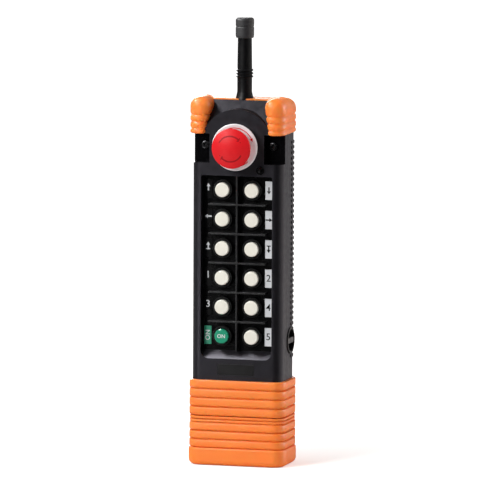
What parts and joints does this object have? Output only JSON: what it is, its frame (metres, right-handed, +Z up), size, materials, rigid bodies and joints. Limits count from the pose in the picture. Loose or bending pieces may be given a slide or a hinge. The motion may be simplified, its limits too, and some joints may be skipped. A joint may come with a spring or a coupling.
{
  "type": "radio remote transmitter",
  "caption": "Handheld radio remote control with push buttons in a recess, a red stop button, a short antenna, rubber bumpers, a side power key and a pull-off battery end.",
  "frame": {"origin": "middle of the flat underside of the battery boot", "axes": "+Z up along the case towards the antenna, -Y out of the button face, +X to the right-hand side with the power key"},
  "size_m": [0.0764, 0.0631, 0.3377],
  "materials": {
    "black_plastic": "fine matte texture",
    "orange_rubber": "smooth satin",
    "grip_rubber": "ribbed matte",
    "seal_rubber": "matte",
    "gloss_black": "gloss",
    "bezel_rubber": "matte",
    "ivory": "satin",
    "green": "gloss",
    "label_dark": "film",
    "label_white": "film",
    "label_green": "film",
    "nameplate": "satin",
    "stop_red": "satin",
    "collar_white": "satin",
    "inner_plastic": "moulded",
    "steel": "plated",
    "board_green": "coated laminate",
    "brass": "turned",
    "lead_jacket": "smooth",
    "antenna_rubber": "satin",
    "antenna_grey": "matte",
    "key_black": "matte",
    "key_grey": "matte",
    "cell_jacket": "satin"
  },
  "bodies": {
    "housing": {"front_housing": "black_plastic", "rear_housing": "black_plastic", "top_bumper": "orange_rubber", "boot_sleeve": "orange_rubber", "grip_cover": "grip_rubber", "housing_seal": "seal_rubber", "stop_seal": "seal_rubber", "key_seal": "seal_rubber", "key_plate": "gloss_black", "divider_grid": "gloss_black", "indicator_lens": "gloss_black", "button_bezels": "bezel_rubber", "left_labels": "label_dark", "right_labels": "label_white", "start_label": "label_green", "nameplate": "nameplate", "stop_collar": "collar_white", "stop_barrel": "inner_plastic", "stop_contact_block": "inner_plastic", "key_switch": "inner_plastic", "button_switches": "inner_plastic", "notch_screws": "steel", "rear_screws": "steel", "board_screws": "steel", "stop_nut": "steel", "stop_spring": "steel", "radio_shield": "steel", "keypad_board": "board_green", "radio_board": "board_green", "terminal_board": "board_green", "antenna_conductor": "brass", "antenna_connector": "brass", "battery_contacts": "brass", "antenna_lead": "lead_jacket", "antenna_base": "antenna_rubber", "antenna_rod": "antenna_rubber", "antenna_tip": "antenna_grey", "key_cup": "key_black"},
    "button_left_1_body": {"button_left_1": "ivory"},
    "button_left_2_body": {"button_left_2": "ivory"},
    "button_left_3_body": {"button_left_3": "ivory"},
    "button_left_4_body": {"button_left_4": "ivory"},
    "button_left_5_body": {"button_left_5": "ivory"},
    "button_start_body": {"button_start": "green"},
    "button_right_1_body": {"button_right_1": "ivory"},
    "button_right_2_body": {"button_right_2": "ivory"},
    "button_right_3_body": {"button_right_3": "ivory"},
    "button_right_4_body": {"button_right_4": "ivory"},
    "button_right_5_body": {"button_right_5": "ivory"},
    "button_right_6_body": {"button_right_6": "ivory"},
    "stop_slider": {"stop_stem": "inner_plastic"},
    "stop_knob": {"stop_head": "stop_red"},
    "power_knob": {"power_key": "key_grey"},
    "battery_pack": {"battery_cap": "inner_plastic", "battery_boot": "orange_rubber", "cap_seal": "seal_rubber", "cell_holder": "inner_plastic", "link_strips": "steel", "battery_cells": "cell_jacket"}
  },
  "joints": [
    {"name": "button_left_1_press", "type": "slide", "parent": "housing", "child": "button_left_1_body", "axis": [0, 1, 0], "range_m": [0, 0.002], "stiffness_N_per_m": 800, "springref_m": -0.0006},
    {"name": "button_left_2_press", "type": "slide", "parent": "housing", "child": "button_left_2_body", "axis": [0, 1, 0], "range_m": [0, 0.002], "stiffness_N_per_m": 800, "springref_m": -0.0006},
    {"name": "button_left_3_press", "type": "slide", "parent": "housing", "child": "button_left_3_body", "axis": [0, 1, 0], "range_m": [0, 0.002], "stiffness_N_per_m": 800, "springref_m": -0.0006},
    {"name": "button_left_4_press", "type": "slide", "parent": "housing", "child": "button_left_4_body", "axis": [0, 1, 0], "range_m": [0, 0.002], "stiffness_N_per_m": 800, "springref_m": -0.0006},
    {"name": "button_left_5_press", "type": "slide", "parent": "housing", "child": "button_left_5_body", "axis": [0, 1, 0], "range_m": [0, 0.002], "stiffness_N_per_m": 800, "springref_m": -0.0006},
    {"name": "button_start_press", "type": "slide", "parent": "housing", "child": "button_start_body", "axis": [0, 1, 0], "range_m": [0, 0.002], "stiffness_N_per_m": 800, "springref_m": -0.0006},
    {"name": "button_right_1_press", "type": "slide", "parent": "housing", "child": "button_right_1_body", "axis": [0, 1, 0], "range_m": [0, 0.002], "stiffness_N_per_m": 800, "springref_m": -0.0006},
    {"name": "button_right_2_press", "type": "slide", "parent": "housing", "child": "button_right_2_body", "axis": [0, 1, 0], "range_m": [0, 0.002], "stiffness_N_per_m": 800, "springref_m": -0.0006},
    {"name": "button_right_3_press", "type": "slide", "parent": "housing", "child": "button_right_3_body", "axis": [0, 1, 0], "range_m": [0, 0.002], "stiffness_N_per_m": 800, "springref_m": -0.0006},
    {"name": "button_right_4_press", "type": "slide", "parent": "housing", "child": "button_right_4_body", "axis": [0, 1, 0], "range_m": [0, 0.002], "stiffness_N_per_m": 800, "springref_m": -0.0006},
    {"name": "button_right_5_press", "type": "slide", "parent": "housing", "child": "button_right_5_body", "axis": [0, 1, 0], "range_m": [0, 0.002], "stiffness_N_per_m": 800, "springref_m": -0.0006},
    {"name": "button_right_6_press", "type": "slide", "parent": "housing", "child": "button_right_6_body", "axis": [0, 1, 0], "range_m": [0, 0.002], "stiffness_N_per_m": 800, "springref_m": -0.0006},
    {"name": "stop_press", "type": "slide", "parent": "housing", "child": "stop_slider", "axis": [0, 1, 0], "range_m": [0, 0.004], "stiffness_N_per_m": 2500, "springref_m": -0.0015, "deforming": ["stop_spring"]},
    {"name": "stop_twist", "type": "hinge", "parent": "stop_slider", "child": "stop_knob", "pos_m": [0, -0.03, 0.2423], "axis": [0, 1, 0], "range_deg": [0, 40], "stiffness_Nm_per_rad": 0.08, "springref_deg": -8.59},
    {"name": "power_key_turn", "type": "hinge", "parent": "housing", "child": "power_knob", "pos_m": [0.03, 0.0064, 0.094], "axis": [1, 0, 0], "range_deg": [0, 90]},
    {"name": "battery_pack_pull", "type": "slide", "parent": "housing", "child": "battery_pack", "axis": [0, 0, -1], "range_m": [0, 0.03]}
  ]
}
